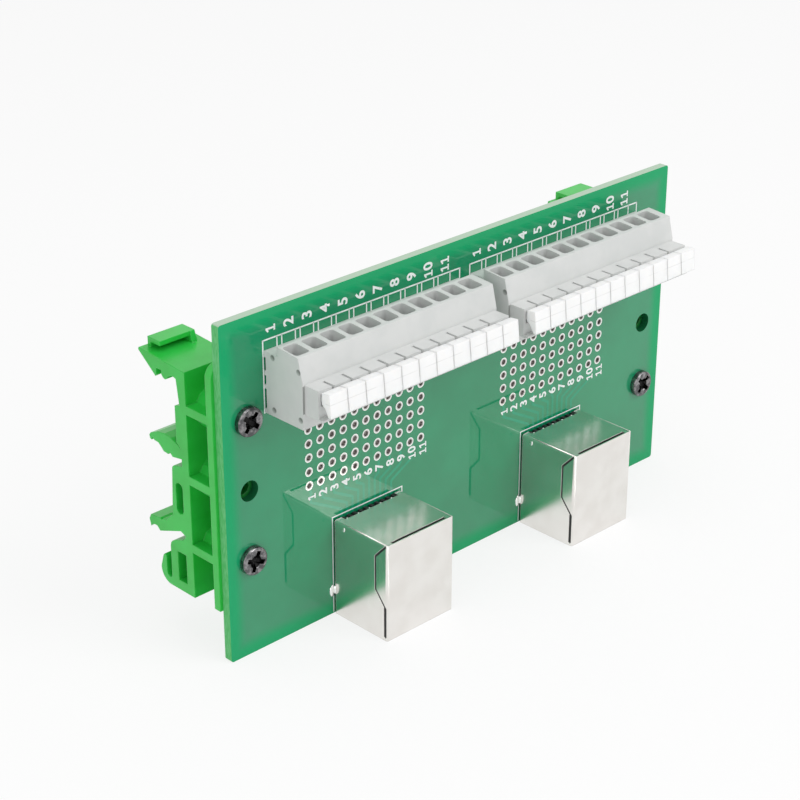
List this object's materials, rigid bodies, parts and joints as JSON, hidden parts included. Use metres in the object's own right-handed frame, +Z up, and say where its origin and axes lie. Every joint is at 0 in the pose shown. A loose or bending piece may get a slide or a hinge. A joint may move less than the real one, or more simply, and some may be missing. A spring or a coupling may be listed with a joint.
{
  "type": "din rail ethernet terminal adapter",
  "caption": "Rail-mounted circuit board that joins shielded modular data jacks to rows of lever-release wire clamps, held by clip-on feet.",
  "frame": {"origin": "on the rail's centre line, midway between the two feet's screws, in the plane of the rail's front flanges", "axes": "+X along the rail, +Y into the rail and the wall behind it, +Z up, with the clamps above and the jacks below"},
  "size_m": [0.1068, 0.0343, 0.0596],
  "materials": {
    "board": "gloss",
    "housing": "satin",
    "lever": "satin",
    "contact_bar": "satin",
    "spring": "satin",
    "shield": "satin",
    "jack_body": "matte",
    "jack_contact": "polished",
    "foot": "gloss",
    "screw": "satin"
  },
  "bodies": {
    "base": {"circuit_board": "board", "terminal_block_left": "housing", "contact_bars_left": "contact_bar", "clamp_springs_left": "spring", "jack_shield_left": "shield", "jack_body_left": "jack_body", "jack_contacts_left": "jack_contact", "rail_foot_left": "foot", "screw_left_top": "screw", "screw_left_bottom": "screw", "terminal_block_right": "housing", "contact_bars_right": "contact_bar", "clamp_springs_right": "spring", "jack_shield_right": "shield", "jack_body_right": "jack_body", "jack_contacts_right": "jack_contact", "rail_foot_right": "foot", "screw_right_top": "screw", "screw_right_bottom": "screw"},
    "lever_left_01": {"lever_left_01": "lever"},
    "lever_left_02": {"lever_left_02": "lever"},
    "lever_left_03": {"lever_left_03": "lever"},
    "lever_left_04": {"lever_left_04": "lever"},
    "lever_left_05": {"lever_left_05": "lever"},
    "lever_left_06": {"lever_left_06": "lever"},
    "lever_left_07": {"lever_left_07": "lever"},
    "lever_left_08": {"lever_left_08": "lever"},
    "lever_left_09": {"lever_left_09": "lever"},
    "lever_left_10": {"lever_left_10": "lever"},
    "lever_left_11": {"lever_left_11": "lever"},
    "lever_right_01": {"lever_right_01": "lever"},
    "lever_right_02": {"lever_right_02": "lever"},
    "lever_right_03": {"lever_right_03": "lever"},
    "lever_right_04": {"lever_right_04": "lever"},
    "lever_right_05": {"lever_right_05": "lever"},
    "lever_right_06": {"lever_right_06": "lever"},
    "lever_right_07": {"lever_right_07": "lever"},
    "lever_right_08": {"lever_right_08": "lever"},
    "lever_right_09": {"lever_right_09": "lever"},
    "lever_right_10": {"lever_right_10": "lever"},
    "lever_right_11": {"lever_right_11": "lever"}
  },
  "joints": [
    {"name": "lever_left_01_pivot", "type": "hinge", "parent": "base", "child": "lever_left_01", "pos_m": [-0.04191, -0.0252, 0.018], "axis": [1, 0, 0], "range_deg": [0, 18], "stiffness_Nm_per_rad": 0.01},
    {"name": "lever_left_02_pivot", "type": "hinge", "parent": "base", "child": "lever_left_02", "pos_m": [-0.0381, -0.0252, 0.018], "axis": [1, 0, 0], "range_deg": [0, 18], "stiffness_Nm_per_rad": 0.01},
    {"name": "lever_left_03_pivot", "type": "hinge", "parent": "base", "child": "lever_left_03", "pos_m": [-0.03429, -0.0252, 0.018], "axis": [1, 0, 0], "range_deg": [0, 18], "stiffness_Nm_per_rad": 0.01},
    {"name": "lever_left_04_pivot", "type": "hinge", "parent": "base", "child": "lever_left_04", "pos_m": [-0.03048, -0.0252, 0.018], "axis": [1, 0, 0], "range_deg": [0, 18], "stiffness_Nm_per_rad": 0.01},
    {"name": "lever_left_05_pivot", "type": "hinge", "parent": "base", "child": "lever_left_05", "pos_m": [-0.02667, -0.0252, 0.018], "axis": [1, 0, 0], "range_deg": [0, 18], "stiffness_Nm_per_rad": 0.01},
    {"name": "lever_left_06_pivot", "type": "hinge", "parent": "base", "child": "lever_left_06", "pos_m": [-0.02286, -0.0252, 0.018], "axis": [1, 0, 0], "range_deg": [0, 18], "stiffness_Nm_per_rad": 0.01},
    {"name": "lever_left_07_pivot", "type": "hinge", "parent": "base", "child": "lever_left_07", "pos_m": [-0.01905, -0.0252, 0.018], "axis": [1, 0, 0], "range_deg": [0, 18], "stiffness_Nm_per_rad": 0.01},
    {"name": "lever_left_08_pivot", "type": "hinge", "parent": "base", "child": "lever_left_08", "pos_m": [-0.01524, -0.0252, 0.018], "axis": [1, 0, 0], "range_deg": [0, 18], "stiffness_Nm_per_rad": 0.01},
    {"name": "lever_left_09_pivot", "type": "hinge", "parent": "base", "child": "lever_left_09", "pos_m": [-0.01143, -0.0252, 0.018], "axis": [1, 0, 0], "range_deg": [0, 18], "stiffness_Nm_per_rad": 0.01},
    {"name": "lever_left_10_pivot", "type": "hinge", "parent": "base", "child": "lever_left_10", "pos_m": [-0.00762, -0.0252, 0.018], "axis": [1, 0, 0], "range_deg": [0, 18], "stiffness_Nm_per_rad": 0.01},
    {"name": "lever_left_11_pivot", "type": "hinge", "parent": "base", "child": "lever_left_11", "pos_m": [-0.00381, -0.0252, 0.018], "axis": [1, 0, 0], "range_deg": [0, 18], "stiffness_Nm_per_rad": 0.01},
    {"name": "lever_right_01_pivot", "type": "hinge", "parent": "base", "child": "lever_right_01", "pos_m": [0.00381, -0.0252, 0.018], "axis": [1, 0, 0], "range_deg": [0, 18], "stiffness_Nm_per_rad": 0.01},
    {"name": "lever_right_02_pivot", "type": "hinge", "parent": "base", "child": "lever_right_02", "pos_m": [0.00762, -0.0252, 0.018], "axis": [1, 0, 0], "range_deg": [0, 18], "stiffness_Nm_per_rad": 0.01},
    {"name": "lever_right_03_pivot", "type": "hinge", "parent": "base", "child": "lever_right_03", "pos_m": [0.01143, -0.0252, 0.018], "axis": [1, 0, 0], "range_deg": [0, 18], "stiffness_Nm_per_rad": 0.01},
    {"name": "lever_right_04_pivot", "type": "hinge", "parent": "base", "child": "lever_right_04", "pos_m": [0.01524, -0.0252, 0.018], "axis": [1, 0, 0], "range_deg": [0, 18], "stiffness_Nm_per_rad": 0.01},
    {"name": "lever_right_05_pivot", "type": "hinge", "parent": "base", "child": "lever_right_05", "pos_m": [0.01905, -0.0252, 0.018], "axis": [1, 0, 0], "range_deg": [0, 18], "stiffness_Nm_per_rad": 0.01},
    {"name": "lever_right_06_pivot", "type": "hinge", "parent": "base", "child": "lever_right_06", "pos_m": [0.02286, -0.0252, 0.018], "axis": [1, 0, 0], "range_deg": [0, 18], "stiffness_Nm_per_rad": 0.01},
    {"name": "lever_right_07_pivot", "type": "hinge", "parent": "base", "child": "lever_right_07", "pos_m": [0.02667, -0.0252, 0.018], "axis": [1, 0, 0], "range_deg": [0, 18], "stiffness_Nm_per_rad": 0.01},
    {"name": "lever_right_08_pivot", "type": "hinge", "parent": "base", "child": "lever_right_08", "pos_m": [0.03048, -0.0252, 0.018], "axis": [1, 0, 0], "range_deg": [0, 18], "stiffness_Nm_per_rad": 0.01},
    {"name": "lever_right_09_pivot", "type": "hinge", "parent": "base", "child": "lever_right_09", "pos_m": [0.03429, -0.0252, 0.018], "axis": [1, 0, 0], "range_deg": [0, 18], "stiffness_Nm_per_rad": 0.01},
    {"name": "lever_right_10_pivot", "type": "hinge", "parent": "base", "child": "lever_right_10", "pos_m": [0.0381, -0.0252, 0.018], "axis": [1, 0, 0], "range_deg": [0, 18], "stiffness_Nm_per_rad": 0.01},
    {"name": "lever_right_11_pivot", "type": "hinge", "parent": "base", "child": "lever_right_11", "pos_m": [0.04191, -0.0252, 0.018], "axis": [1, 0, 0], "range_deg": [0, 18], "stiffness_Nm_per_rad": 0.01}
  ]
}
